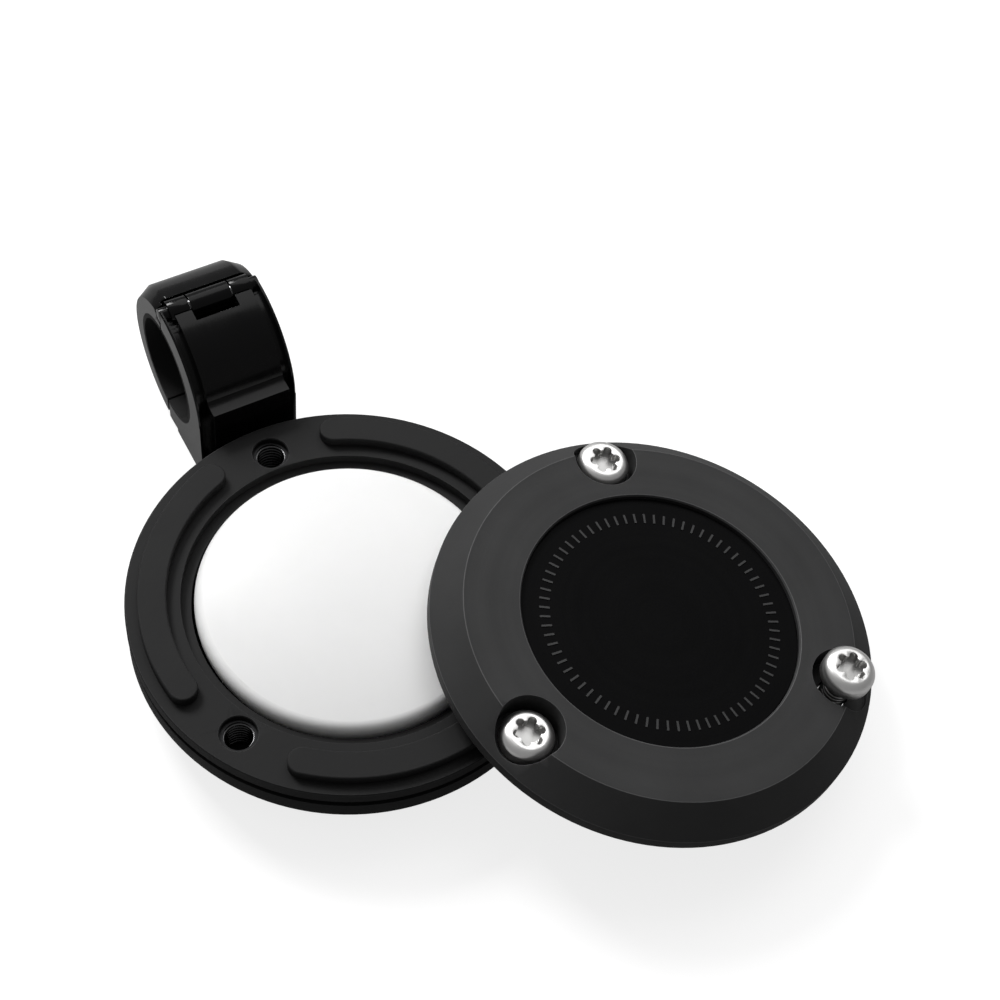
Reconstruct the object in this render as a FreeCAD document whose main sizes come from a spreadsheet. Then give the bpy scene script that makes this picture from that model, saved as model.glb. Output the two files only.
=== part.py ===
"""Tracker tag holder: a round screw-down case with a hinged clamp ring, its cover taken off.

Frame: millimetres, +Z up. The origin is the middle of the case's underside, +Y points from
the case to the clamp ring and X runs along the clamp's bore.
"""
import FreeCAD, Part
import math
import os

import Sketcher

# Driving sizes, in millimetres and degrees, by the piece that they belong to.
SIZES = [
    # Case: a flange over a groove, a lower rim and a bevel down to the underside.
    ("case_radius", 22.95), ("case_wall", 6.7), ("case_edge_chamfer", 0.12), ("flange_thickness", 1.4),
    ("side_groove_height", 0.95), ("side_groove_depth", 1.0), ("rim_inset", 0.05), ("rim_height", 1.95),
    ("underside_bevel", 2.25), ("floor_thickness", 1.9), ("ledge_width", 1.05), ("ledge_depth", 1.1),
    # Arc pads on the flange, between the screw holes.
    ("pad_inset", 2.8), ("pad_width", 3.0), ("pad_height", 1.1), ("pad_end_gap", 5.8),
    ("pad_edge_round", 0.2),
    # Cover screws and the bushes that they go into.
    ("screw_inset", 3.45), ("screw_thread_radius", 1.5), ("screw_length", 6.0), ("screw_head_radius", 2.75),
    ("screw_head_height", 1.95), ("screw_head_rim", 1.05), ("screw_head_crown_radius", 1.9),
    ("drive_lobe_circle_radius", 1.22), ("drive_lobe_radius", 0.45), ("drive_core_radius", 1.18),
    ("drive_depth", 1.15), ("screw_tip_chamfer", 0.3), ("bush_wall", 0.35), ("bush_length", 4.6),
    ("bush_sink", 0.6), ("thread_clearance", 0.05), ("hole_chamfer", 0.1),
    # Tag: domed shell over a steel back, with its cell, board, chassis and sounder inside.
    ("tag_thickness", 7.9), ("tag_pocket_clearance", 0.3), ("tag_proud", 1.8), ("tag_edge_drop", 2.7),
    ("tag_edge_round", 1.2), ("tag_seam_drop", 5.3), ("tag_seam_inset", 0.6), ("tag_wall", 0.9),
    ("back_wall", 0.4), ("back_foot_inset", 3.45), ("back_seam_inset", 1.35), ("cell_inset", 5.95),
    ("cell_height", 3.2), ("cell_gap", 0.1), ("chassis_wall", 1.6), ("board_thickness", 0.6),
    ("board_inset", 2.55), ("sounder_share", 0.6), ("sounder_height", 1.2), ("sounder_bore_share", 0.35),
    # Foam under the tag.
    ("foam_thickness", 0.6), ("foam_inset", 0.35), ("tag_rest_gap", 0.1),
    # Cover: vertical rim, bevel, flat ring and a recess with an inlaid disc.
    ("cover_overhang", 0.45), ("cover_roof", 1.2), ("cover_rim_height", 1.4), ("cover_bevel_width", 2.9),
    ("cover_edge_chamfer", 0.15), ("recess_wall", 1.55), ("recess_depth", 0.95), ("badge_thickness", 0.35),
    ("badge_clearance", 0.05), ("counterbore_clearance", 0.6), ("screw_seat", 1.05),
    ("screw_hole_clearance", 0.15), ("dome_clearance", 0.3), ("pad_slot_clearance", 0.25),
    ("seal_width", 0.9), ("seal_height", 0.9), ("seal_seat_depth", 0.5), ("seal_clearance", 0.2),
    ("retainer_width", 0.75), ("retainer_height", 0.45),
    # How the loose cover lies: its second screw stands just off the case's rim.
    ("cover_azimuth", -35.74), ("cover_screw_stand", 2.04), ("cover_rise", 0.3), ("cover_tilt", 7.83),
    ("cover_tilt_azimuth", -27.88), ("cover_turn", -12.6),
    ("screw_1_raise", 1.05), ("screw_2_raise", 0.1), ("screw_3_raise", 3.6),
    # Clamp ring: a middle band between two narrow grooves and two cheeks, lined with rubber.
    ("band_radius", 9.2), ("ring_wall", 2.8), ("liner_thickness", 0.5), ("band_width", 8.8),
    ("ring_groove_width", 1.0), ("ring_groove_depth", 1.1), ("cheek_width", 0.3), ("cheek_drop", 0.15),
    ("cheek_chamfer", 0.15), ("swing_bevel_width", 1.5), ("swing_bevel_drop", 0.9),
    ("split_angle", -87.5), ("split_gap", 0.3),
    # Hinge of the ring.
    ("hinge_offset_y", 0.7), ("hinge_inset", 1.0), ("pin_radius", 0.8), ("knuckle_radius", 1.35),
    ("knuckle_span", 9.4), ("middle_knuckle_width", 4.6), ("knuckle_gap", 0.2), ("hinge_clearance", 0.3),
    ("pin_clearance", 0.04), ("knuckle_web", 2.6), ("outer_web_drop", 0.2), ("knuckle_slot_length", 2.7),
    # Foot and tongue that carry the fixed jaw.
    ("foot_gap", 1.15), ("foot_step", 1.0), ("foot_rise", 2.9), ("foot_length", 4.0), ("tongue_step", 0.5),
    ("tongue_thickness", 1.2), ("tongue_side_clearance", 0.1), ("tongue_end_margin", 2.1),
    ("jaw_screw_x", 3.0), ("jaw_screw_inset", 2.65), ("jaw_screw_radius", 0.95), ("jaw_screw_bite", 0.9),
    ("jaw_screw_head_radius", 1.7), ("jaw_screw_head_height", 0.5), ("jaw_screw_clearance", 0.1),
    ("jaw_screw_socket_radius", 0.75), ("jaw_screw_socket_depth", 0.3), ("foam_hole_clearance", 0.3),
    # Screw that closes the ring, through the swing jaw's block into the fixed jaw's foot.
    ("block_reach", 4.3), ("block_height", 3.4), ("block_rise", 0.2), ("clamp_screw_cover", 0.4),
    ("clamp_screw_radius", 0.9), ("clamp_screw_length", 8.0),
    ("clamp_screw_head_radius", 1.45), ("clamp_screw_head_height", 1.5), ("clamp_screw_backed_out", 4.4),
    ("clamp_screw_clearance", 0.1), ("clamp_thread_clearance", 0.04), ("clamp_head_clearance", 0.25),
    ("clamp_thread_spare", 0.4), ("clamp_socket_radius", 0.8), ("clamp_socket_depth", 0.8),
    # Reach of every cut past the face that it opens.
    ("overrun", 1.0),
]

HOLES = 3
HOLE_STEP = 360.0 / HOLES
FIRST_HOLE = 90.0
LOBES = 6

# Ends of a sketched line or arc, by number.
FIRST, LAST = 1, 2

X_AXIS = FreeCAD.Vector(1, 0, 0)
Y_AXIS = FreeCAD.Vector(0, 1, 0)
Z_AXIS = FreeCAD.Vector(0, 0, 1)


class Size(float):
    """A number that remembers the sheet expression it came from."""

    def __new__(cls, value, text):
        size = super().__new__(cls, value)
        size.text = text
        return size

    def __add__(self, other):
        return Size(float(self) + float(other), f"({self.text} + {text_of(other)})")

    def __radd__(self, other):
        return Size(float(other) + float(self), f"({text_of(other)} + {self.text})")

    def __sub__(self, other):
        return Size(float(self) - float(other), f"({self.text} - {text_of(other)})")

    def __rsub__(self, other):
        return Size(float(other) - float(self), f"({text_of(other)} - {self.text})")

    def __mul__(self, other):
        return Size(float(self) * float(other), f"({self.text} * {text_of(other)})")

    __rmul__ = __mul__

    def __truediv__(self, other):
        return Size(float(self) / float(other), f"({self.text} / {text_of(other)})")

    def __neg__(self):
        return Size(-float(self), f"(0 - {self.text})")


def text_of(value):
    return value.text if isinstance(value, Size) else repr(float(value))


class Sizes:
    """The driving sizes, read back from the document's sheet by name."""

    def __init__(self, doc, table):
        sheet = doc.addObject("Spreadsheet::Sheet", "Sizes")
        for row, (name, value) in enumerate(table, start=1):
            sheet.set(f"A{row}", name)
            sheet.set(f"B{row}", str(value))
            sheet.setAlias(f"B{row}", name)
        doc.recompute()
        for name, _ in table:
            setattr(self, name, Size(float(sheet.get(name)), f"Sizes.{name}"))
        self.work_out()

    def work_out(self):
        """Sizes and places that follow from the driving ones."""
        self.pocket_radius = self.case_radius - self.case_wall
        self.tag_radius = self.pocket_radius - self.tag_pocket_clearance
        self.tag_bottom = self.floor_thickness + self.foam_thickness + self.tag_rest_gap
        self.tag_top = self.tag_bottom + self.tag_thickness
        self.case_depth = self.tag_top - self.tag_proud
        self.ledge_radius = self.pocket_radius + self.ledge_width
        self.screw_circle_radius = self.case_radius - self.screw_inset
        self.thread_bore = self.screw_thread_radius + self.thread_clearance
        self.counterbore_radius = self.screw_head_radius + self.counterbore_clearance
        self.cover_radius = self.case_radius + self.cover_overhang
        self.cover_thickness = self.tag_proud + self.dome_clearance + self.cover_roof + self.recess_depth
        self.recess_radius = self.screw_circle_radius - self.counterbore_radius - self.recess_wall
        self.seal_outer = self.ledge_radius - self.seal_clearance
        self.seal_inner = self.seal_outer - self.seal_width
        self.metal_bore = self.band_radius - self.ring_wall
        self.clamp_bore_radius = self.metal_bore - self.liner_thickness
        self.ring_width = self.band_width + (self.ring_groove_width + self.cheek_width) * 2
        self.through_ring = self.ring_width + self.overrun * 2
        self.foot_front_y = self.case_radius + self.foot_gap
        self.ring_centre_y = self.foot_front_y + self.foot_step + self.band_radius
        self.ring_reach = self.band_radius * 2
        self.pin_y = self.ring_centre_y + self.hinge_offset_y
        self.pin_z = self.band_radius * 2 - self.hinge_inset
        self.hinge_room = self.knuckle_radius + self.hinge_clearance
        self.cheek_end = self.hinge_inset - self.cheek_drop
        self.jaw_screw_y = self.pocket_radius - self.jaw_screw_inset
        self.tongue_end_y = self.jaw_screw_y - self.tongue_end_margin
        self.tongue_width = self.band_width + self.tongue_step * 2
        self.block_end_y = self.ring_centre_y + self.block_reach
        self.clamp_screw_z = self.ring_wall - self.clamp_screw_cover - self.clamp_screw_radius


def bind(obj, **values):
    """Give an object's properties their values, tied to the sheet where they come from it."""
    for name, value in values.items():
        setattr(obj, name, float(value))
        if isinstance(value, Size):
            obj.setExpression(name, value.text)
    return obj


def place(obj, at, rotation=None):
    obj.Placement = FreeCAD.Placement(FreeCAD.Vector(*at), rotation or FreeCAD.Rotation())
    for axis, value in zip("xyz", at):
        if isinstance(value, Size):
            obj.setExpression(f"Placement.Base.{axis}", value.text)
    return obj


def cylinder(name, radius, height, at=(0, 0, 0), rotation=None, sweep=None):
    obj = bind(doc.addObject("Part::Cylinder", name), Radius=radius, Height=height)
    if sweep is not None:
        obj.Angle = float(sweep)
    return place(obj, at, rotation)


def cone(name, bottom, top, height, at):
    obj = bind(doc.addObject("Part::Cone", name), Radius1=bottom, Radius2=top, Height=height)
    return place(obj, at)


def box(name, corner, size):
    obj = bind(doc.addObject("Part::Box", name), Length=size[0], Width=size[1], Height=size[2])
    return place(obj, corner)


def fuse(name, *pieces):
    obj = doc.addObject("Part::MultiFuse", name)
    obj.Shapes = list(pieces)
    obj.Refine = True
    return obj


def group(name, pieces):
    obj = doc.addObject("Part::Compound", name)
    obj.Links = list(pieces)
    return obj


def cut(name, base, *tools):
    obj = doc.addObject("Part::Cut", name)
    obj.Base = base
    obj.Tool = tools[0] if len(tools) == 1 else fuse(f"{name}_tools", *tools)
    obj.Refine = True
    return obj


def common(name, first, second):
    obj = doc.addObject("Part::Common", name)
    obj.Base = first
    obj.Tool = second
    obj.Refine = True
    return obj


def rounded(name, base, radius, chosen):
    """Round the edges of a piece that a rule picks by their place."""
    doc.recompute()
    obj = doc.addObject("Part::Fillet", name)
    obj.Base = base
    edges = [(index, float(radius), float(radius))
             for index, edge in enumerate(base.Shape.Edges, start=1) if chosen(edge)]
    obj.Edges = edges
    return obj


def origin_plane(body, role):
    return next(feature for feature in body.Origin.OriginFeatures if feature.Role == role)


def arc_between(start, end, radius):
    """The short arc of a given radius from start to end, bulging to the right of that way."""
    span = end - start
    half = span.Length / 2
    left = FreeCAD.Vector(-span.y, span.x, 0).normalize()
    centre = (start + end) * 0.5 + left * math.sqrt(max(radius * radius - half * half, 0.0))
    circle = Part.Circle(centre, Z_AXIS, radius)
    first = math.atan2(start.y - centre.y, start.x - centre.x)
    last = math.atan2(end.y - centre.y, end.x - centre.x)
    return Part.ArcOfCircle(circle, first, last)


def revolved(name, outline, about="Z"):
    """A body turned from an outline of (across, along) corners.

    About Z a corner is (radius, height), about X it is (place along X, radius). The corners run
    anticlockwise. A third entry makes the side from that corner to the next an arc of that
    radius, bulging out.
    """
    body = doc.addObject("PartDesign::Body", name)
    sketch = body.newObject("Sketcher::SketchObject", f"{name}_outline")
    plane = "XZ_Plane" if about == "Z" else "XY_Plane"
    sketch.AttachmentSupport = [(origin_plane(body, plane), "")]
    sketch.MapMode = "FlatFace"
    corners = [FreeCAD.Vector(float(corner[0]), float(corner[1]), 0) for corner in outline]
    sides = []
    for index, corner in enumerate(outline):
        start, end = corners[index], corners[(index + 1) % len(corners)]
        if len(corner) == 3:
            side = sketch.addGeometry(arc_between(start, end, float(corner[2])))
            radius = sketch.addConstraint(Sketcher.Constraint("Radius", side, float(corner[2])))
            sketch.setExpression(f"Constraints[{radius}]", text_of(corner[2]))
        else:
            side = sketch.addGeometry(Part.LineSegment(start, end))
        sides.append(side)
    for index, corner in enumerate(outline):
        side = sides[index]
        sketch.addConstraint(Sketcher.Constraint("Coincident", sides[index - 1], LAST, side, FIRST))
        for kind, value in (("DistanceX", corner[0]), ("DistanceY", corner[1])):
            if not isinstance(value, Size):
                on_axis = -2 if kind == "DistanceX" else -1
                sketch.addConstraint(Sketcher.Constraint("PointOnObject", side, FIRST, on_axis))
                continue
            fixed = sketch.addConstraint(Sketcher.Constraint(kind, -1, 1, side, FIRST, float(value)))
            sketch.setExpression(f"Constraints[{fixed}]", value.text)
    turn = body.newObject("PartDesign::Revolution", f"{name}_turn")
    turn.Profile = sketch
    turn.ReferenceAxis = (sketch, ["V_Axis" if about == "Z" else "H_Axis"])
    turn.Angle = 360.0
    body.Tip = turn
    return body


def turned(axis, angle):
    return FreeCAD.Rotation(axis, float(angle))


def hole_places():
    """Screw places round the case, each with its azimuth."""
    for index in range(HOLES):
        azimuth = FIRST_HOLE + index * HOLE_STEP
        across = math.cos(math.radians(azimuth))
        along = math.sin(math.radians(azimuth))
        yield azimuth, s.screw_circle_radius * across, s.screw_circle_radius * along


def arc_pads(prefix, half_width, height, base, end_spare):
    """Three raised or sunk arcs with round ends, between neighbouring screw places."""
    pads = []
    middle = s.case_radius - s.pad_inset
    end_angle = math.degrees(float(s.pad_end_gap) / float(middle))
    for azimuth, _, _ in hole_places():
        first = azimuth + end_angle + math.degrees(float(half_width - end_spare) / float(middle))
        last = azimuth + HOLE_STEP - (first - azimuth)
        name = f"{prefix}_{round(azimuth)}"
        turn = turned(Z_AXIS, first)
        outer = cylinder(f"{name}_outer", middle + half_width, height, (0, 0, base), turn, last - first)
        inner = cylinder(f"{name}_inner", middle - half_width, height + s.overrun * 2,
                         (0, 0, base - s.overrun))
        caps = [cylinder(f"{name}_cap", half_width, height,
                         (middle * math.cos(math.radians(end)), middle * math.sin(math.radians(end)), base))
                for end in (first, last)]
        pads.append(fuse(name, cut(f"{name}_sector", outer, inner), *caps))
    return pads


def case_base():
    top = s.case_depth
    flange_bottom = top - s.flange_thickness
    groove_bottom = flange_bottom - s.side_groove_height
    rim_bottom = groove_bottom - s.rim_height
    groove_radius = s.case_radius - s.side_groove_depth
    rim = s.case_radius - s.rim_inset
    dish = revolved("case_dish", [
        (0, 0), (rim - s.underside_bevel, 0), (rim, rim_bottom), (rim, groove_bottom),
        (groove_radius, groove_bottom), (groove_radius, flange_bottom), (s.case_radius, flange_bottom),
        (s.case_radius, top - s.case_edge_chamfer), (s.case_radius - s.case_edge_chamfer, top),
        (s.ledge_radius, top), (s.ledge_radius, top - s.ledge_depth), (s.pocket_radius, top - s.ledge_depth),
        (s.pocket_radius, s.floor_thickness), (0, s.floor_thickness)])
    pads = [rounded(f"case_pad_{index}", pad, s.pad_edge_round, on_top(top + s.pad_height))
            for index, pad in enumerate(arc_pads("pad", s.pad_width / 2, s.pad_height, top, 0.0), start=1)]
    tools = []
    hole_radius = s.thread_bore + s.bush_wall
    for index, (_, x, y) in enumerate(hole_places(), start=1):
        depth = s.bush_length + s.bush_sink
        tools.append(cylinder(f"bush_hole_{index}", hole_radius, depth + s.overrun, (x, y, top - depth)))
        tools.append(cone(f"bush_hole_edge_{index}", hole_radius, hole_radius + s.hole_chamfer,
                          s.hole_chamfer, (x, y, top - s.hole_chamfer)))
    half = s.tongue_width / 2 + s.tongue_side_clearance
    reach = s.case_radius + s.overrun - s.tongue_end_y
    tools.append(box("tongue_recess", (-half, s.tongue_end_y, -s.overrun),
                     (half * 2, reach, s.tongue_thickness + s.overrun)))
    for side, x in enumerate((-s.jaw_screw_x, s.jaw_screw_x)):
        tools.append(cylinder(f"jaw_screw_way_{side}", s.jaw_screw_radius + s.jaw_screw_clearance,
                              s.floor_thickness + s.overrun * 2, (x, s.jaw_screw_y, -s.overrun)))
    return cut("case_base", fuse("case_with_pads", dish, *pads), *tools)


def on_top(height):
    """A rule for rounded(): edges that lie flat at a height."""
    def chosen(edge):
        bounds = edge.BoundBox
        return abs(bounds.ZMin - float(height)) < FLAT and abs(bounds.ZMax - float(height)) < FLAT
    return chosen


def threaded_inserts():
    top = s.case_depth - s.bush_sink
    bushes = []
    for index, (_, x, y) in enumerate(hole_places(), start=1):
        bush = cylinder(f"bush_{index}", s.thread_bore + s.bush_wall, s.bush_length,
                        (x, y, top - s.bush_length))
        way = cylinder(f"bush_bore_{index}", s.thread_bore, s.bush_length + s.overrun * 2,
                       (x, y, top - s.bush_length - s.overrun))
        bushes.append(cut(f"threaded_insert_{index}", bush, way))
    return group("threaded_inserts", bushes)


def pocket_pad():
    disc = cylinder("foam_disc", s.tag_radius - s.foam_inset, s.foam_thickness, (0, 0, s.floor_thickness))
    ways = [cylinder(f"foam_hole_{side}", s.jaw_screw_head_radius + s.foam_hole_clearance,
                     s.foam_thickness + s.overrun * 2, (x, s.jaw_screw_y, s.floor_thickness - s.overrun))
            for side, x in enumerate((-s.jaw_screw_x, s.jaw_screw_x))]
    return cut("pocket_pad", disc, *ways)


def ring_blank(name, right):
    """A whole clamp ring before it is split, from the right half of its section."""
    left = [(-across, radius) for across, radius in reversed(right)]
    ring = revolved(name, right + left, about="X")
    return place(ring, (0, s.ring_centre_y, s.band_radius))


def grooved_ring():
    """The fixed jaw's ring: a band, a groove and a cheek on each side."""
    half_band = s.band_width / 2
    half_ring = s.ring_width / 2
    groove_end = half_band + s.ring_groove_width
    groove = s.band_radius - s.ring_groove_depth
    cheek = s.band_radius - s.cheek_drop
    return ring_blank("fixed_ring", [
        (half_ring, s.metal_bore), (half_ring, cheek - s.cheek_chamfer), (half_ring - s.cheek_chamfer, cheek),
        (groove_end, cheek), (groove_end, groove), (half_band, groove), (half_band, s.band_radius)])


def bevelled_ring():
    """The swing jaw's ring: one wide band with a bevel down to each face."""
    half_ring = s.ring_width / 2
    return ring_blank("swing_ring", [
        (half_ring, s.metal_bore), (half_ring, s.band_radius - s.swing_bevel_drop),
        (half_ring - s.swing_bevel_width, s.band_radius)])


def ring_sector(name, first, last):
    """A wedge about the ring's bore from one angle to another, measured from +Y towards +Z."""
    lie = FreeCAD.Rotation(Y_AXIS, Z_AXIS, X_AXIS, "ZXY")
    at = (-s.through_ring / 2, s.ring_centre_y, s.band_radius)
    return cylinder(name, s.ring_reach, s.through_ring, at, turned(X_AXIS, first) * lie, last - first)


def along_x(name, radius, width, y, z):
    return cylinder(name, radius, width, (-width / 2, y, z), turned(Y_AXIS, 90))


def along_y(name, radius, start, end):
    """A cylinder on the clamp screw's line from one place along Y to another."""
    return cylinder(name, radius, end - start, (0, start, s.clamp_screw_z), turned(X_AXIS, -90))


def clamp_tip_y():
    """How far towards the case the clamp screw's thread goes."""
    return s.block_end_y - s.clamp_screw_length - s.clamp_thread_spare


def hinge_angle():
    return math.degrees(math.atan2(float(s.band_radius - s.hinge_inset), float(s.hinge_offset_y)))


def split_half_angle():
    return math.degrees(float(s.split_gap) / 2 / float(s.metal_bore))


def jaw_foot():
    """The block under the fixed jaw's ring, stepped like the ring into a band, grooves and cheeks."""
    length = s.ring_centre_y - s.foot_front_y - s.foot_length / 2
    foot = box("jaw_foot", (-s.band_width / 2, s.foot_front_y, 0),
               (s.band_width, length, s.band_radius + s.foot_rise))
    front = s.ring_centre_y - s.band_radius + s.cheek_drop
    back = s.foot_front_y + length
    sides = box("jaw_foot_sides", (-s.ring_width / 2, front, 0), (s.ring_width, back - front, s.band_radius))
    grooves = [box(f"jaw_foot_groove_{side}", (x, front - s.overrun, -s.overrun),
                   (s.ring_groove_width, s.overrun + s.ring_groove_depth, s.band_radius + s.overrun))
               for side, x in enumerate((-s.band_width / 2 - s.ring_groove_width, s.band_width / 2))]
    return fuse("jaw_foot_whole", foot, cut("jaw_foot_cheeks", sides, *grooves))


def fixed_jaw():
    spare = split_half_angle()
    tongue = box("jaw_tongue", (-s.tongue_width / 2, s.tongue_end_y, 0),
                 (s.tongue_width, s.foot_front_y + s.foot_length - s.tongue_end_y, s.tongue_thickness))
    whole = fuse("fixed_jaw_blank", grooved_ring(), jaw_foot(), tongue)
    swing = ring_sector("fixed_jaw_opening", float(s.split_angle) - spare, hinge_angle() + spare)
    around_pin = along_x("fixed_hinge_room", s.hinge_room, s.knuckle_span, s.pin_y, s.pin_z)
    slot_width = s.middle_knuckle_width + s.knuckle_gap * 2
    knuckle_foot = s.pin_z - s.knuckle_radius
    slot = box("middle_knuckle_slot", (-slot_width / 2, s.pin_y - s.knuckle_slot_length, knuckle_foot),
               (slot_width, s.knuckle_slot_length, s.knuckle_radius * 2 + s.overrun))
    bore = along_x("fixed_jaw_bore", s.metal_bore, s.through_ring, s.ring_centre_y, s.band_radius)
    pieces = [cut("fixed_jaw_shaped", whole, swing, around_pin, slot, bore)]
    knuckle_width = (s.knuckle_span - slot_width) / 2
    cheek_width = (s.ring_width - slot_width) / 2
    for side, (start, cheek_start) in enumerate((
            (-s.knuckle_span / 2, -s.ring_width / 2), (slot_width / 2, slot_width / 2))):
        pieces.append(cylinder(f"outer_knuckle_{side}", s.knuckle_radius, knuckle_width,
                               (start, s.pin_y, s.pin_z), turned(Y_AXIS, 90)))
        pieces.append(box(f"outer_knuckle_web_{side}", (start, s.pin_y - s.knuckle_web, knuckle_foot),
                          (knuckle_width, s.knuckle_web, s.knuckle_radius - s.outer_web_drop)))
        pieces.append(cylinder(f"cheek_end_{side}", s.cheek_end, cheek_width,
                               (cheek_start, s.pin_y, s.pin_z), turned(Y_AXIS, 90)))
    tools = [along_x("fixed_pin_hole", s.pin_radius, s.knuckle_span, s.pin_y, s.pin_z),
             along_y("clamp_thread", s.clamp_screw_radius + s.clamp_thread_clearance, clamp_tip_y(),
                     s.block_end_y + s.overrun)]
    for side, x in enumerate((-s.jaw_screw_x, s.jaw_screw_x)):
        tools.append(cylinder(f"jaw_thread_{side}", s.jaw_screw_radius, s.jaw_screw_bite + s.overrun,
                              (x, s.jaw_screw_y, s.tongue_thickness - s.jaw_screw_bite)))
    return cut("clamp_fixed_jaw", fuse("fixed_jaw_whole", *pieces), *tools)


def swing_jaw():
    spare = split_half_angle()
    sector = ring_sector("swing_sector", float(s.split_angle) + spare, hinge_angle() - spare)
    around_pin = along_x("swing_hinge_room", s.hinge_room, s.knuckle_span + s.knuckle_gap * 2,
                         s.pin_y, s.pin_z)
    past_cheeks = along_x("swing_cheek_room", s.cheek_end + s.hinge_clearance, s.through_ring,
                          s.pin_y, s.pin_z)
    block = box("swing_block", (-s.band_width / 2, s.ring_centre_y, s.block_rise),
                (s.band_width, s.block_reach, s.block_height))
    bore = along_x("swing_jaw_bore", s.metal_bore, s.through_ring, s.ring_centre_y, s.band_radius)
    blank = cut("swing_blank", fuse("swing_ring_and_block", bevelled_ring(), block), bore)
    arc = common("swing_arc", blank, sector)
    knuckle = along_x("middle_knuckle", s.knuckle_radius, s.middle_knuckle_width, s.pin_y, s.pin_z)
    web = box("middle_knuckle_web", (-s.middle_knuckle_width / 2, s.pin_y, s.pin_z - s.knuckle_radius),
              (s.middle_knuckle_width, s.knuckle_web, s.knuckle_radius))
    whole = fuse("swing_jaw_whole", cut("swing_arc_cut", arc, around_pin, past_cheeks), knuckle, web)
    pin_hole = along_x("swing_pin_hole", s.pin_radius + s.pin_clearance, s.through_ring, s.pin_y, s.pin_z)
    screw_way = along_y("clamp_screw_way", s.clamp_screw_radius + s.clamp_screw_clearance, s.foot_front_y,
                        s.block_end_y + s.overrun)
    seat = along_y("clamp_screw_seat", s.clamp_screw_head_radius + s.clamp_head_clearance, s.block_end_y,
                   s.ring_centre_y + s.ring_reach)
    return cut("clamp_swing_jaw", whole, pin_hole, screw_way, seat)


def hinge_pin():
    return along_x("hinge_pin", s.pin_radius, s.knuckle_span, s.pin_y, s.pin_z)


def liner(name, first, last):
    sleeve = cut(f"{name}_sleeve",
                 along_x(f"{name}_outside", s.metal_bore, s.ring_width, s.ring_centre_y, s.band_radius),
                 along_x(f"{name}_bore", s.clamp_bore_radius, s.through_ring, s.ring_centre_y, s.band_radius))
    return common(name, sleeve, ring_sector(f"{name}_sector", first, last))


def liners():
    spare = split_half_angle()
    hinge = hinge_angle()
    split = float(s.split_angle)
    return [liner("fixed_jaw_liner", hinge + spare, 360.0 + split - spare),
            liner("swing_jaw_liner", split + spare, hinge - spare)]


def six_lobe_cut(name, top, depth, x, y, reach):
    """A six-lobe driver recess that opens at a height, scaled to reach a radius at its lobes."""
    share = float(reach) / float(s.drive_lobe_circle_radius + s.drive_lobe_radius)
    circle, lobe = s.drive_lobe_circle_radius * share, s.drive_lobe_radius * share
    core = cylinder(f"{name}_core", s.drive_core_radius * share, depth + s.overrun, (x, y, top - depth))
    lobes = []
    for index in range(LOBES):
        angle = math.radians(index * 360.0 / LOBES)
        lobes.append(cylinder(f"{name}_lobe", lobe, depth + s.overrun,
                              (x + circle * math.cos(angle), y + circle * math.sin(angle), top - depth)))
    return fuse(f"{name}_star", core, *lobes)


def cover_screw(index):
    """A button-head cover screw with its head's seat at zero height."""
    name = f"cover_screw_{index}"
    tip = -s.screw_length
    body = revolved(f"{name}_body", [
        (0, tip), (s.screw_thread_radius - s.screw_tip_chamfer, tip),
        (s.screw_thread_radius, tip + s.screw_tip_chamfer), (s.screw_thread_radius, 0),
        (s.screw_head_radius, 0), (s.screw_head_radius, s.screw_head_rim, s.screw_head_rim),
        (s.screw_head_crown_radius, s.screw_head_height), (0, s.screw_head_height)])
    reach = s.drive_lobe_circle_radius + s.drive_lobe_radius
    return cut(name, body, six_lobe_cut(f"{name}_drive", s.screw_head_height, s.drive_depth, 0, 0, reach))


def cover_distance():
    """How far from the case's axis the loose cover lies for its second screw to clear the rim."""
    between = math.radians(FIRST_HOLE + HOLE_STEP + float(s.cover_turn) - float(s.cover_azimuth))
    circle = float(s.screw_circle_radius)
    stand = float(s.case_radius + s.cover_screw_stand)
    return math.sqrt(stand ** 2 - (circle * math.sin(between)) ** 2) - circle * math.cos(between)


def cover_pose():
    """Where the loose cover lies: its underside's middle, its turn and its tilt."""
    lean = math.radians(float(s.cover_tilt_azimuth))
    tilt = FreeCAD.Rotation(FreeCAD.Vector(-math.sin(lean), math.cos(lean), 0), float(s.cover_tilt))
    away = turned(Z_AXIS, s.cover_azimuth).multVec(X_AXIS) * cover_distance()
    middle = away + Z_AXIS * float(s.case_depth + s.cover_rise)
    return FreeCAD.Placement(middle, tilt * turned(Z_AXIS, s.cover_turn))


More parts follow.
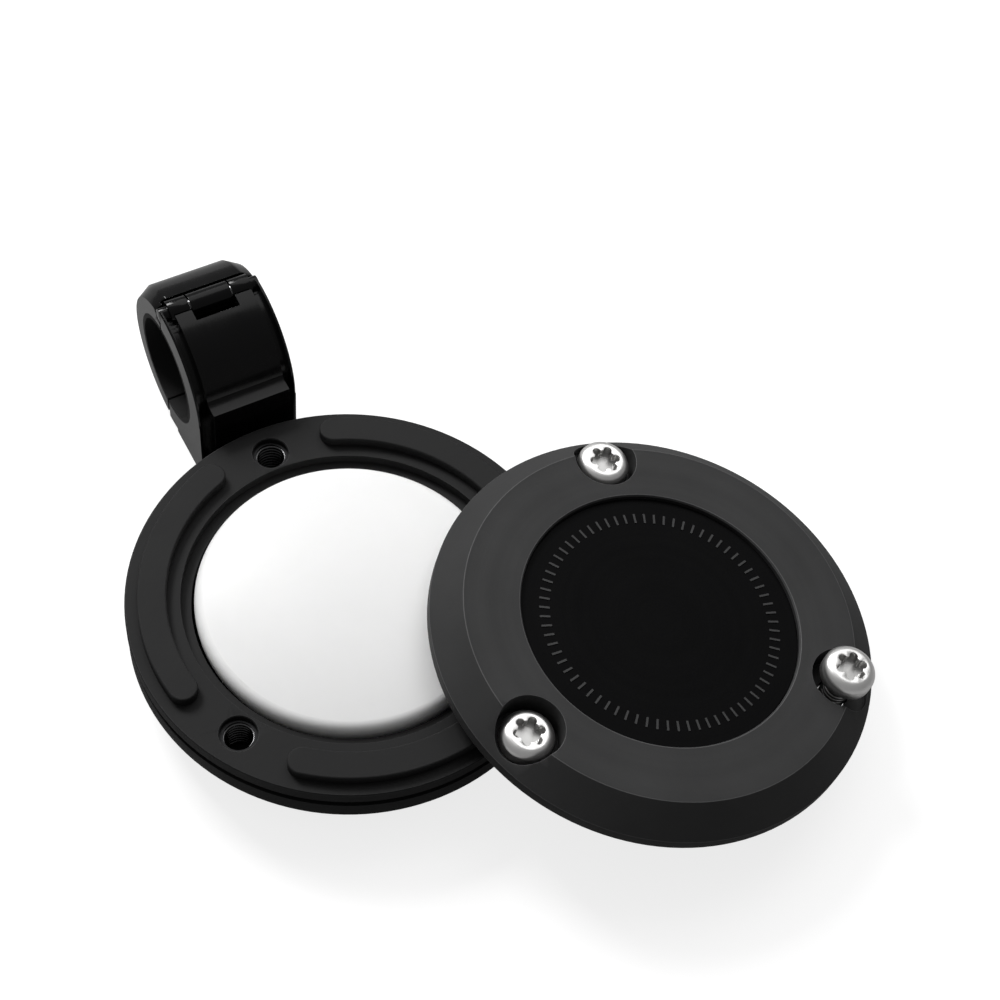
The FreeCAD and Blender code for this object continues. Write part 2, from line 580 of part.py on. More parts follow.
def cover():
    top = s.cover_thickness
    edge = s.cover_edge_chamfer
    ceiling = s.tag_proud + s.dome_clearance
    dome_edge = s.tag_radius - s.tag_edge_round
    plate = revolved("cover_plate", [
        (0, ceiling), (dome_edge, ceiling), (s.seal_inner, s.seal_seat_depth),
        (s.seal_outer, s.seal_seat_depth), (s.seal_outer, 0),
        (s.cover_radius - edge, 0), (s.cover_radius, edge), (s.cover_radius, s.cover_rim_height),
        (s.cover_radius - s.cover_bevel_width, top), (s.recess_radius + edge, top),
        (s.recess_radius, top - edge),
        (s.recess_radius, top - s.recess_depth), (0, top - s.recess_depth)])
    tools = arc_pads("pad_slot", s.pad_width / 2 + s.pad_slot_clearance, s.pad_height + s.pad_slot_clearance
                     + s.overrun, -s.overrun, s.pad_slot_clearance * 2)
    for index, (_, x, y) in enumerate(hole_places(), start=1):
        tools.append(cylinder(f"counterbore_{index}", s.counterbore_radius, top - s.screw_seat + s.overrun,
                              (x, y, s.screw_seat)))
        tools.append(cylinder(f"screw_way_{index}", s.screw_thread_radius + s.screw_hole_clearance,
                              top + s.overrun, (x, y, -s.overrun)))
        tools.append(cylinder(f"retainer_seat_{index}", s.screw_thread_radius + s.retainer_width,
                              s.retainer_height + s.overrun, (x, y, -s.overrun)))
    return cut("cover", plate, *tools)


def cover_badge():
    floor = s.cover_thickness - s.recess_depth
    return revolved("cover_badge", [
        (0, floor), (s.recess_radius - s.badge_clearance, floor),
        (s.recess_radius - s.badge_clearance, floor + s.badge_thickness), (0, floor + s.badge_thickness)])


def cover_seal():
    top = s.seal_seat_depth
    bottom = top - s.seal_height
    return revolved("cover_seal", [
        (s.seal_inner, top), (s.seal_inner, bottom), (s.seal_outer, bottom), (s.seal_outer, top)])


def screw_retainers():
    rings = []
    for index, (_, x, y) in enumerate(hole_places(), start=1):
        ring = cylinder(f"retainer_{index}", s.screw_thread_radius + s.retainer_width, s.retainer_height,
                        (x, y, 0))
        way = cylinder(f"retainer_bore_{index}", s.thread_bore,
                       s.retainer_height + s.overrun * 2, (x, y, -s.overrun))
        rings.append(cut(f"screw_retainer_{index}", ring, way))
    return group("screw_retainers", rings)


def jaw_screws():
    screws = []
    seat = s.floor_thickness
    for side, x in enumerate((-s.jaw_screw_x, s.jaw_screw_x), start=1):
        tip = s.tongue_thickness - s.jaw_screw_bite
        shank = cylinder(f"jaw_shank_{side}", s.jaw_screw_radius, seat - tip, (x, s.jaw_screw_y, tip))
        head = cylinder(f"jaw_head_{side}", s.jaw_screw_head_radius, s.jaw_screw_head_height,
                        (x, s.jaw_screw_y, seat))
        whole = fuse(f"jaw_screw_whole_{side}", shank, head)
        star = six_lobe_cut(f"jaw_drive_{side}", seat + s.jaw_screw_head_height, s.jaw_screw_socket_depth,
                            x, s.jaw_screw_y, s.jaw_screw_socket_radius)
        screws.append(cut(f"jaw_screw_{side}", whole, star))
    return group("jaw_screws", screws)


def clamp_screw():
    """The closing screw, backed out of the fixed jaw, made upright and laid along Y."""
    shank = cylinder("clamp_shank", s.clamp_screw_radius, s.clamp_screw_length, (0, 0, -s.clamp_screw_length))
    head = cylinder("clamp_head", s.clamp_screw_head_radius, s.clamp_screw_head_height)
    star = six_lobe_cut("clamp_drive", s.clamp_screw_head_height, s.clamp_socket_depth, 0, 0,
                        s.clamp_socket_radius)
    screw = cut("clamp_screw", fuse("clamp_screw_whole", shank, head), star)
    return place(screw, (0, s.block_end_y + s.clamp_screw_backed_out, s.clamp_screw_z), turned(X_AXIS, -90))


def tag_dome():
    """The dome's radius, and where it runs into the shell's round edge, from the tag's top down."""
    inner = s.tag_radius - s.tag_edge_round
    drop, edge = s.tag_edge_drop, s.tag_edge_round
    radius = (inner * inner + drop * drop - edge * edge) / ((drop - edge) * 2)
    return radius, radius * inner / (radius - edge), radius - radius * (radius - drop) / (radius - edge)


def tag_pieces():
    """The tag's shell and back, and what they hold, from the back up."""
    base, top = s.tag_bottom, s.tag_top
    edge = top - s.tag_edge_drop
    seam = top - s.tag_seam_drop
    seam_radius = s.tag_radius - s.tag_seam_inset
    wall = s.tag_wall
    dome_radius, dome_edge, dome_drop = tag_dome()
    skirt = s.tag_seam_drop - s.tag_edge_drop
    skirt_round = (skirt * skirt + s.tag_seam_inset * s.tag_seam_inset) / (s.tag_seam_inset * 2)
    shell = revolved("tag_shell", [
        (seam_radius - wall, seam), (seam_radius, seam, skirt_round), (s.tag_radius, edge, s.tag_edge_round),
        (dome_edge, top - dome_drop, dome_radius), (0, top), (0, top - wall),
        (dome_edge - wall, top - dome_drop - wall), (seam_radius - wall, edge)])
    foot, back_seam = s.tag_radius - s.back_foot_inset, s.tag_radius - s.back_seam_inset
    back = revolved("tag_back_cover", [
        (0, base), (foot, base), (back_seam, seam - s.back_wall), (seam_radius, seam - s.back_wall),
        (seam_radius, seam), (back_seam - s.back_wall, seam), (foot - s.back_wall, base + s.back_wall),
        (0, base + s.back_wall)])
    cell_radius = s.tag_radius - s.cell_inset
    cell_base = base + s.back_wall
    cell = cylinder("tag_coin_cell", cell_radius, s.cell_height, (0, 0, cell_base))
    cell_top = cell_base + s.cell_height
    chassis_bore = cell_radius + s.cell_gap
    chassis = cut("tag_chassis",
                  cylinder("chassis_ring", chassis_bore + s.chassis_wall, s.cell_height, (0, 0, cell_base)),
                  cylinder("chassis_bore", chassis_bore, s.cell_height + s.overrun * 2,
                           (0, 0, cell_base - s.overrun)))
    board = cylinder("tag_circuit_board", s.tag_radius - s.board_inset, s.board_thickness, (0, 0, cell_top))
    sounder_base = cell_top + s.board_thickness
    sounder_radius = cell_radius * s.sounder_share
    sounder = cut("tag_sounder",
                  cylinder("sounder_disc", sounder_radius, s.sounder_height, (0, 0, sounder_base)),
                  cylinder("sounder_bore_way", sounder_radius * s.sounder_bore_share,
                           s.sounder_height + s.overrun * 2, (0, 0, sounder_base - s.overrun)))
    return [shell, back, cell, chassis, board, sounder]


def cover_pieces():
    """The cover and what rides on it, laid at the cover's resting place."""
    pose = cover_pose()
    pieces = [cover(), cover_badge(), cover_seal(), screw_retainers()]
    for piece in pieces:
        piece.Placement = pose
    raises = (s.screw_1_raise, s.screw_2_raise, s.screw_3_raise)
    for index, ((_, x, y), up) in enumerate(zip(hole_places(), raises), start=1):
        screw = cover_screw(index)
        local = FreeCAD.Vector(float(x), float(y), float(s.screw_seat + up))
        screw.Placement = pose * FreeCAD.Placement(local, FreeCAD.Rotation())
        pieces.append(screw)
    return pieces


def check(pieces):
    for obj in doc.Objects:
        bad = [state for state in obj.State if state in ("Invalid", "Error")]
        if bad:
            raise RuntimeError(f"{obj.Name} did not build: {bad}")
    for piece in pieces:
        if piece.Shape.isNull() or not piece.Shape.isValid() or not piece.Shape.Solids:
            raise RuntimeError(f"{piece.Label} is not a sound solid")


def export(pieces):
    os.makedirs("parts", exist_ok=True)
    for piece in pieces:
        piece.Shape.exportStep(f"parts/{piece.Label}.step")
        print(f"{piece.Label}: {len(piece.Shape.Solids)} solids, {piece.Shape.Volume:.2f} mm3")


FLAT = 1e-4

doc = FreeCAD.newDocument("TagHolder")
s = Sizes(doc, SIZES)
nodes = [case_base(), threaded_inserts(), pocket_pad(), fixed_jaw(), jaw_screws(), hinge_pin(), swing_jaw(),
         clamp_screw(), *liners(), *tag_pieces(), *cover_pieces()]
doc.recompute()
check(nodes)
export(nodes)
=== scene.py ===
"""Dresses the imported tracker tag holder: softened edges, threads, screws, badge and finishes."""
import math

import bmesh
import bpy
from bpy.props import FloatProperty, FloatVectorProperty, IntProperty, PointerProperty
from bpy.types import Operator, Panel, PropertyGroup
from mathutils import Euler, Matrix, Vector


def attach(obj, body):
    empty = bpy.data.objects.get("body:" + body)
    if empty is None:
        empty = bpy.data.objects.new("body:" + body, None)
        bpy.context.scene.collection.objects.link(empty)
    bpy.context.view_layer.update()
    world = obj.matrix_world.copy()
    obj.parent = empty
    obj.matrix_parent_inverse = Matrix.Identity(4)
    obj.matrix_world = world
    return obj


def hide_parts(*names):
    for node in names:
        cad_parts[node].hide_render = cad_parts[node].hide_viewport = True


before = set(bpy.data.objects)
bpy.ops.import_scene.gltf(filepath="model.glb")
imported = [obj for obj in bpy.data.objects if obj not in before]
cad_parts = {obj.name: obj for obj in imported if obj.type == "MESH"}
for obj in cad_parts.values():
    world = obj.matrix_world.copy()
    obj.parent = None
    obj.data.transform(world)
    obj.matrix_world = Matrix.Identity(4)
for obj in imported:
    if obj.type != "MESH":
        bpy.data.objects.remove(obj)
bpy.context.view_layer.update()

bl_info = {
    "name": "Tracker tag holder",
    "version": (1, 0, 0),
    "blender": (4, 5, 0),
    "location": "View3D > Sidebar > Tag holder",
    "description": "Finishes a screw-down tag case with a hinged clamp ring and its loose cover",
    "category": "Object",
}

# Fixed values: edges and meshes

SCREW_COUNT = 3
MERGE_DISTANCE = 2e-6
WELD_DISTANCE = 1e-7
FLAT_ANGLE = math.radians(0.4)
SHARP_ANGLE = math.radians(32.0)
EDGE_SEGMENTS = 2
SHANK_TOP = 0.00005
SHANK_RADII = (0.0013, 0.0016)
CLAMP_SCREW_HEIGHT = 0.0015
THREAD_STEPS = 28
RIDGE_SIDES = 4
THREAD_START = 0.8

# Fixed values: grain and marks, as shares of a finish's own scale, and the painted shade in screw recesses

COARSE_SCALE = 0.45
COARSE_SHARE = 0.6
MOTTLE_SCALE = 0.045
STREAK_SCALE = 0.12
RECESS_FADE = 0.0004
RECESS_SHADE = 0.6
NOISE_LOW = 0.3
NOISE_HIGH = 0.7

# Fixed values: grain scales and turned lines per metre, relief depths in metres, shine

SKIN_SCALE = 2600.0
RUBBER_SCALE = 3600.0
FOAM_SCALE = 900.0
COVER_LINES = 5200.0
CLAMP_LINES = 4200.0
METAL_LINES = 9000.0
SOUNDER_LINES = 5000.0
SKIN_DEPTH = 0.000012
COVER_GRAIN_DEPTH = 0.00001
COVER_LINE_DEPTH = 0.000004
CLAMP_DEPTH = 0.0000015
METAL_DEPTH = 0.0000025
SMUDGE_DEPTH = 0.000004
FOAM_DEPTH = 0.00012
RUN_DEPTH = 0.00002
SKIN_SPECULAR = 0.2
CASE_SPECULAR = 0.13
RUBBER_SPECULAR = 0.3

# Fixed values: widths of smudges in metres, and how far a finish strays from its colour

METAL_SMUDGE = 0.004
SHELL_SMUDGE = 0.012
BOARD_SMUDGE = 0.005
SKIN_STRAY = 0.12
COVER_STRAY = 0.1
METAL_STRAY = 0.07
SHELL_STRAY = 0.012
FOAM_STRAY = 0.3

# Fixed values: colours of pieces that hardly show

# Insert body and thread are one steel: the darker body is painted shade in the holes, and the paler thread
# is painted glints.
INSERT_SHADED_STEEL = (0.015, 0.015, 0.0155)
INSERT_GLINT_THREAD = (0.1, 0.1, 0.102)
PIN_STEEL = (0.6, 0.6, 0.61)
CLOSING_SCREW = (0.09, 0.09, 0.095)
BACK_STEEL = (0.76, 0.76, 0.77)
CELL_NICKEL = (0.66, 0.66, 0.65)
CHASSIS_GREY = (0.2, 0.2, 0.2)
SOUNDER_BRASS = (0.68, 0.5, 0.22)
BOARD_GREENS = ((0.012, 0.12, 0.045), (0.018, 0.16, 0.06), (0.05, 0.26, 0.1))

# Fixed values: stage

SKY_WAY = (-0.1, 0.5, 0.86)
SKY_START = 0.2
SKY_DARK = 0.02
SKY_BRIGHT = 0.45
MIRRORED_SKY = 0.27
MIRRORED_FLOOR = 0.1
FLOOR_REACH = 0.6
FLOOR_DROP = 0.0002
FLOOR_GREY = 0.35
FLOOR_GLOW = 0.8
LAMP_TARGET = (0.012, 0.0, 0.005)

# Each lamp's name, place, width in metres and power in watts

LAMPS = (("lamp_main", (-0.093, 0.662, 0.602), 0.3, 6.3),
         ("lamp_back", (0.365, 0.383, 0.73), 0.75, 2.8))

# Camera: its place, its turn in degrees about X, Y and Z, and its lens and sensor in millimetres

CAMERA_PLACE = (-0.0497334, -0.095313, 0.1852018)
CAMERA_TURN = (34.0977, -4.5159, -28.3673)
CAMERA_LENS = 72.0
SENSOR_WIDTH = 36.0
NEAREST_SEEN = 0.005
FARTHEST_SEEN = 10.0


# Settings

class TagHolderSizes(PropertyGroup):
    """Sizes of the dressed pieces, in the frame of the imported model."""

    case_edge: FloatProperty(name="Case edge", description="Round on the case's and cover's edges",
                             default=0.00012, unit="LENGTH")
    clamp_edge: FloatProperty(name="Clamp edge", description="Round on the clamp's edges",
                              default=0.00018, unit="LENGTH")
    screw_edge: FloatProperty(name="Screw edge", description="Round on the screws' edges",
                              default=0.00008, unit="LENGTH")
    cover_place: FloatVectorProperty(name="Cover place", description="Middle of the loose cover's underside",
                                     default=(0.02534, -0.018235, 0.009), subtype="TRANSLATION")
    cover_tilt: FloatProperty(name="Cover tilt", description="Lean of the loose cover",
                              default=math.radians(7.83), subtype="ANGLE")
    cover_lean: FloatProperty(name="Cover lean", description="Azimuth that the cover leans towards",
                              default=math.radians(-27.88), subtype="ANGLE")
    cover_turn: FloatProperty(name="Cover turn", description="Turn of the cover about its own axis",
                              default=math.radians(-12.6), subtype="ANGLE")
    screw_circle: FloatProperty(name="Screw circle", description="Radius of the ring of screws",
                                default=0.0195, unit="LENGTH")
    screw_seat: FloatProperty(name="Screw seat", description="Height of the screw seats in the cover",
                              default=0.00105, unit="LENGTH")
    screw_raises: FloatVectorProperty(name="Screw raises",
                                      description="How far each screw stands out of its seat",
                                      default=(0.00105, 0.0001, 0.0036), subtype="TRANSLATION")
    screw_radius: FloatProperty(name="Screw radius", description="Outside radius of the screw's thread",
                                default=0.0015, unit="LENGTH")
    screw_length: FloatProperty(name="Screw length", description="Length under the head", default=0.006,
                                unit="LENGTH")
    screw_head: FloatProperty(name="Screw head", description="Height of a cover screw's head",
                              default=0.00195, unit="LENGTH")
    drive_reach: FloatProperty(name="Drive reach", description="Radius that the driver recess reaches",
                               default=0.0017, unit="LENGTH")
    thread_pitch: FloatProperty(name="Thread pitch", description="Rise of one turn of the thread",
                                default=0.0005, unit="LENGTH")
    thread_depth: FloatProperty(name="Thread depth", description="Height of the thread's ridge",
                                default=0.00022, unit="LENGTH")
    insert_bore: FloatProperty(name="Insert bore", description="Bore radius of the threaded inserts",
                               default=0.00155, unit="LENGTH")
    insert_bottom: FloatProperty(name="Insert bottom", description="Height where the inserts start",
                                 default=0.0035, unit="LENGTH")
    insert_length: FloatProperty(name="Insert length", description="Length of the inserts", default=0.0046,
                                 unit="LENGTH")
    badge_top: FloatProperty(name="Badge top", description="Height of the inlaid disc's face in the cover",
                             default=0.00365, unit="LENGTH")
    tick_count: IntProperty(name="Ticks", description="Number of plain ticks round the disc", default=72)
    tick_circle: FloatProperty(name="Tick circle", description="Radius of the ring of ticks", default=0.0121,
                               unit="LENGTH")
    tick_length: FloatProperty(name="Tick length", description="Length of a tick", default=0.0011,
                               unit="LENGTH")
    tick_width: FloatProperty(name="Tick width", description="Width of a tick", default=0.00022,
                              unit="LENGTH")
    tick_height: FloatProperty(name="Tick height", description="Relief of a tick", default=0.00007,
                               unit="LENGTH")
    ring_middle: FloatVectorProperty(name="Ring middle", description="Middle of the clamp ring",
                                     default=(0.0, 0.0343, 0.0092), subtype="TRANSLATION")


class TagHolderFinishes(PropertyGroup):
    """Colours of the pieces that show."""

    case_black: FloatVectorProperty(name="Case", description="Matte black of the case", size=3,
                                    default=(0.015, 0.015, 0.0152), subtype="COLOR", min=0.0, max=1.0)
    cover_black: FloatVectorProperty(name="Cover", description="Matte black of the cover", size=3,
                                     default=(0.032, 0.032, 0.0324), subtype="COLOR", min=0.0, max=1.0)
    clamp_black: FloatVectorProperty(name="Clamp", description="Satin black of the clamp ring", size=3,
                                     default=(0.0032, 0.0032, 0.0034), subtype="COLOR", min=0.0, max=1.0)
    badge_black: FloatVectorProperty(name="Badge", description="Deep black of the inlaid disc", size=3,
                                     default=(0.0035, 0.0035, 0.0037), subtype="COLOR", min=0.0, max=1.0)
    rubber_black: FloatVectorProperty(name="Rubber", description="Black of the liners and seals", size=3,
                                      default=(0.005, 0.005, 0.005), subtype="COLOR", min=0.0, max=1.0)
    # Paler edges stand for painted highlight, with some wear.
    edge_wear_and_highlight: FloatProperty(name="Edge highlight and wear", description="How much paler the edges are, for painted highlight and wear", default=2.4)
    bright_steel: FloatVectorProperty(name="Screws", description="Bright steel of the cover screws", size=3,
                                      default=(0.78, 0.775, 0.765), subtype="COLOR", min=0.0, max=1.0)
    tag_white: FloatVectorProperty(name="Tag", description="Gloss white of the tag's shell", size=3,
                                   default=(0.9, 0.9, 0.895), subtype="COLOR", min=0.0, max=1.0)


def sizes():
    return bpy.context.scene.tag_holder_sizes


def finishes():
    return bpy.context.scene.tag_holder_finishes


# Shader groups shared by several finishes

def add(tree, kind, **values):
    """A new node; names with a capital are its inputs, the others its own properties."""
    made = tree.nodes.new(kind)
    for name, value in values.items():
        if name[0].isupper():
            made.inputs[name.replace("_", " ")].default_value = value
        else:
            setattr(made, name, value)
    return made


def shader_group(name, inputs, outputs):
    group = bpy.data.node_groups.new(name, "ShaderNodeTree")
    for label, kind, default in inputs:
        socket = group.interface.new_socket(label, in_out="INPUT", socket_type=kind)
        if default is not None:
            socket.default_value = default
    for label, kind in outputs:
        group.interface.new_socket(label, in_out="OUTPUT", socket_type=kind)
    return group, group.nodes.new("NodeGroupInput"), group.nodes.new("NodeGroupOutput")


def scaled(tree, socket, factor):
    """A socket's value times a factor."""
    made = add(tree, "ShaderNodeMath", operation="MULTIPLY")
    made.inputs[1].default_value = factor
    tree.links.new(socket, made.inputs[0])
    return made.outputs[0]


def larger(tree, first, second):
    """The larger of two sockets' values."""
    made = add(tree, "ShaderNodeMath", operation="MAXIMUM")
    tree.links.new(first, made.inputs[0])
    tree.links.new(second, made.inputs[1])
    return made.outputs[0]


def from_axis(tree, vector):
    """How far a place is from the local Z axis, and its height on it."""
    parts = add(tree, "ShaderNodeSeparateXYZ")
    flat = add(tree, "ShaderNodeCombineXYZ")
    radius = add(tree, "ShaderNodeVectorMath", operation="LENGTH")
    tree.links.new(vector, parts.inputs[0])
    tree.links.new(parts.outputs["X"], flat.inputs["X"])
    tree.links.new(parts.outputs["Y"], flat.inputs["Y"])
    tree.links.new(flat.outputs[0], radius.inputs[0])
    return radius.outputs["Value"], parts.outputs["Z"]


def moulded_grain():
    """Fine two-scale grain of a bead-blasted or moulded skin, with slow mottling."""
    group, given, out = shader_group("Moulded grain", [
        ("Vector", "NodeSocketVector", None), ("Scale", "NodeSocketFloat", 2500.0)],
        [("Height", "NodeSocketFloat"), ("Mottle", "NodeSocketFloat")])
    link = group.links.new
    fine = add(group, "ShaderNodeTexNoise", Detail=3.0, Roughness=0.6)
    coarse = add(group, "ShaderNodeTexVoronoi", feature="SMOOTH_F1")
    both = add(group, "ShaderNodeMath", operation="MULTIPLY_ADD")
    both.inputs[1].default_value = COARSE_SHARE
    slow = add(group, "ShaderNodeTexNoise", Detail=4.0, Roughness=0.55)
    for texture in (fine, coarse, slow):
        link(given.outputs["Vector"], texture.inputs["Vector"])
    link(given.outputs["Scale"], fine.inputs["Scale"])
    link(scaled(group, given.outputs["Scale"], COARSE_SCALE), coarse.inputs["Scale"])
    link(scaled(group, given.outputs["Scale"], MOTTLE_SCALE), slow.inputs["Scale"])
    link(coarse.outputs["Distance"], both.inputs[0])
    link(fine.outputs["Fac"], both.inputs[2])
    link(both.outputs[0], out.inputs["Height"])
    link(slow.outputs["Fac"], out.inputs["Mottle"])
    return group


def lathe_lines():
    """Turning marks round the local Z axis: rings that change with the radius and the height."""
    group, given, out = shader_group("Lathe lines", [
        ("Vector", "NodeSocketVector", None), ("Lines", "NodeSocketFloat", 6000.0)],
        [("Height", "NodeSocketFloat"), ("Streak", "NodeSocketFloat")])
    link = group.links.new
    across = add(group, "ShaderNodeMath", operation="ADD")
    place = add(group, "ShaderNodeMath", operation="MULTIPLY")
    lines = add(group, "ShaderNodeTexNoise", noise_dimensions="1D", Scale=1.0, Detail=2.0, Roughness=0.5)
    streak = add(group, "ShaderNodeTexNoise", noise_dimensions="1D", Scale=1.0, Detail=3.0, Roughness=0.6)
    radius, height = from_axis(group, given.outputs["Vector"])
    link(radius, across.inputs[0])
    link(height, across.inputs[1])
    link(across.outputs[0], place.inputs[0])
    link(given.outputs["Lines"], place.inputs[1])
    link(place.outputs[0], lines.inputs["W"])
    link(scaled(group, place.outputs[0], STREAK_SCALE), streak.inputs["W"])
    link(lines.outputs["Fac"], out.inputs["Height"])
    link(streak.outputs["Fac"], out.inputs["Streak"])
    return group


def handling_marks():
    """Faint smudges that shift a surface's shine."""
    group, given, out = shader_group("Handling marks", [
        ("Vector", "NodeSocketVector", None), ("Size", "NodeSocketFloat", 0.006)],
        [("Smudge", "NodeSocketFloat")])
    link = group.links.new
    per = add(group, "ShaderNodeMath", operation="DIVIDE")
    per.inputs[0].default_value = 1.0
    smudge = add(group, "ShaderNodeTexNoise", Detail=5.0, Roughness=0.62, Distortion=0.6)
    link(given.outputs["Size"], per.inputs[1])
    link(per.outputs[0], smudge.inputs["Scale"])
    link(given.outputs["Vector"], smudge.inputs["Vector"])
    link(smudge.outputs["Fac"], out.inputs["Smudge"])
    return group


def inside_recess():
    """One inside a round recess that opens at a height on the local Z axis."""
    group, given, out = shader_group("Inside recess", [
        ("Vector", "NodeSocketVector", None), ("Reach", "NodeSocketFloat", 0.002),
        ("Top", "NodeSocketFloat", 0.0)],
        [("Mask", "NodeSocketFloat")])
    link = group.links.new
    near = add(group, "ShaderNodeMath", operation="LESS_THAN")
    deep = add(group, "ShaderNodeMath", operation="SUBTRACT")
    below = add(group, "ShaderNodeMapRange", From_Min=0.0, From_Max=RECESS_FADE)
    both = add(group, "ShaderNodeMath", operation="MULTIPLY")
    radius, height = from_axis(group, given.outputs["Vector"])
    link(radius, near.inputs[0])
    link(given.outputs["Reach"], near.inputs[1])
    link(given.outputs["Top"], deep.inputs[0])
    link(height, deep.inputs[1])
    link(deep.outputs[0], below.inputs["Value"])
    link(near.outputs[0], both.inputs[0])
    link(below.outputs["Result"], both.inputs[1])
    link(both.outputs[0], out.inputs["Mask"])
    return group


GROUPS = {}


def group_node(tree, maker):
    if maker.__name__ not in GROUPS:
        GROUPS[maker.__name__] = maker()
    made = tree.nodes.new("ShaderNodeGroup")
    made.node_tree = GROUPS[maker.__name__]
    return made


class Finish:
    """A material in the making: one Principled BSDF and what feeds it."""

    def __init__(self, name, **shader):
        self.material = bpy.data.materials.new(name)
        self.material.use_nodes = True
        self.tree = self.material.node_tree
        self.shader = next(n for n in self.tree.nodes if n.type == "BSDF_PRINCIPLED")
        for label, value in shader.items():
            self.shader.inputs[label.replace("_", " ")].default_value = value
        self.place = add(self.tree, "ShaderNodeTexCoord").outputs["Object"]
        self.height = None

    def local(self, matrix):
        """Object coordinates seen from a turned and moved frame."""
        location, rotation, _ = matrix.inverted().decompose()
        turn = add(self.tree, "ShaderNodeMapping", vector_type="POINT")
        turn.inputs["Location"].default_value = location
        turn.inputs["Rotation"].default_value = rotation.to_euler()
        self.tree.links.new(self.place, turn.inputs["Vector"])
        self.place = turn.outputs[0]
        return self

    def use(self, maker, **values):
        made = group_node(self.tree, maker)
        self.tree.links.new(self.place, made.inputs["Vector"])
        for label, value in values.items():
            made.inputs[label].default_value = value
        return made

    def roughen(self, value, low, high):
        """Let a noise run the roughness between two levels."""
        ramp = add(self.tree, "ShaderNodeMapRange", From_Min=NOISE_LOW, From_Max=NOISE_HIGH,
                   To_Min=low, To_Max=high)
        self.tree.links.new(value, ramp.inputs["Value"])
        self.tree.links.new(ramp.outputs["Result"], self.shader.inputs["Roughness"])
        return self

    def tint(self, value, first, second):
        """Let a noise blend the base colour between two colours."""
        mix = add(self.tree, "ShaderNodeMix", data_type="RGBA")
        mix.inputs[6].default_value = (*first, 1.0)
        mix.inputs[7].default_value = (*second, 1.0)
        ramp = add(self.tree, "ShaderNodeMapRange", From_Min=NOISE_LOW, From_Max=NOISE_HIGH)
        self.tree.links.new(value, ramp.inputs["Value"])
        self.tree.links.new(ramp.outputs["Result"], mix.inputs[0])
        self.tree.links.new(mix.outputs[2], self.shader.inputs["Base Color"])
        return self

    def cover_with(self, mask, colour):
        """Lay another base colour over the present one where a mask is one."""
        shader = self.shader.inputs["Base Color"]
        mix = add(self.tree, "ShaderNodeMix", data_type="RGBA")
        mix.inputs[7].default_value = (*colour, 1.0)
        self.tree.links.new(shader.links[0].from_socket, mix.inputs[6])
        self.tree.links.new(mask, mix.inputs[0])
        self.tree.links.new(mix.outputs[2], shader)
        return self

    def bump(self, value, distance):
        made = add(self.tree, "ShaderNodeBump", Strength=1.0, Distance=distance)
        self.tree.links.new(value, made.inputs["Height"])
        if self.height is not None:
            self.tree.links.new(self.height, made.inputs["Normal"])
        self.height = made.outputs["Normal"]
        self.tree.links.new(self.height, self.shader.inputs["Normal"])
        return self


def shades(colour, stray):
    """A darker and a paler colour, either side of a given one."""
    return tuple(c * (1.0 - stray) for c in colour), tuple(min(c * (1.0 + stray), 1.0) for c in colour)


def edge_highlight_and_wear(colour):
    """The paler colour on a black skin's edges: painted highlight, with some wear from hands."""
    return tuple(c * finishes().edge_wear_and_highlight for c in colour)


def moulded_black(name, colour, roughness, scale=SKIN_SCALE, specular=SKIN_SPECULAR):
    """Matte moulded plastic or rubber."""
    finish = Finish(name, Specular_IOR_Level=specular)
    grain = finish.use(moulded_grain, Scale=scale)
    finish.tint(grain.outputs["Mottle"], *shades(colour, SKIN_STRAY))
    finish.roughen(grain.outputs["Mottle"], *roughness)
    return finish.bump(grain.outputs["Height"], SKIN_DEPTH).material


def cover_finish(name, colour, matrix, roughness, specular=SKIN_SPECULAR):
    """Matte black with turning marks about the cover's own axis."""
    finish = Finish(name, Specular_IOR_Level=specular)
    grain = finish.use(moulded_grain, Scale=SKIN_SCALE)
    finish.local(matrix)
    lines = finish.use(lathe_lines, Lines=COVER_LINES)
    finish.tint(grain.outputs["Mottle"], *shades(colour, COVER_STRAY))
    finish.roughen(lines.outputs["Streak"], *roughness)
    finish.bump(grain.outputs["Height"], COVER_GRAIN_DEPTH)
    return finish.bump(lines.outputs["Height"], COVER_LINE_DEPTH).material


def turned_metal(name, colour, matrix, roughness, lines=METAL_LINES, depth=METAL_DEPTH, metallic=1.0,
                 **shader):
    """Machined or coated metal with turning marks about an axis."""
    finish = Finish(name, Metallic=metallic, **shader)
    marks = finish.use(handling_marks, Size=METAL_SMUDGE)
    finish.local(matrix)
    rings = finish.use(lathe_lines, Lines=lines)
    finish.tint(marks.outputs["Smudge"], *shades(colour, METAL_STRAY))
    finish.roughen(rings.outputs["Streak"], *roughness)
    return finish.bump(rings.outputs["Height"], depth).material


def screw_steel(name, colour, seat):
    """Bright turned steel with painted shade inside the driver recess."""
    finish = Finish(name, Metallic=1.0)
    marks = finish.use(handling_marks, Size=METAL_SMUDGE)
    finish.local(seat)
    rings = finish.use(lathe_lines, Lines=METAL_LINES)
    recess = finish.use(inside_recess, Reach=sizes().drive_reach, Top=sizes().screw_head)
    finish.tint(marks.outputs["Smudge"], *shades(colour, METAL_STRAY))
    # Painted shade: the base colour darkens inside the driver recess.
    finish.cover_with(recess.outputs["Mask"], tuple(c * RECESS_SHADE for c in colour))
    finish.roughen(rings.outputs["Streak"], 0.28, 0.4)
    return finish.bump(rings.outputs["Height"], METAL_DEPTH).material


def glossy_white(name, colour):
    finish = Finish(name, Specular_IOR_Level=0.15, Subsurface_Weight=0.25, Subsurface_Scale=0.002,
                    Subsurface_Radius=(1.0, 1.0, 0.95))
    marks = finish.use(handling_marks, Size=SHELL_SMUDGE)
    finish.tint(marks.outputs["Smudge"], *shades(colour, SHELL_STRAY))
    finish.roughen(marks.outputs["Smudge"], 0.28, 0.36)
    return finish.bump(marks.outputs["Smudge"], SMUDGE_DEPTH).material


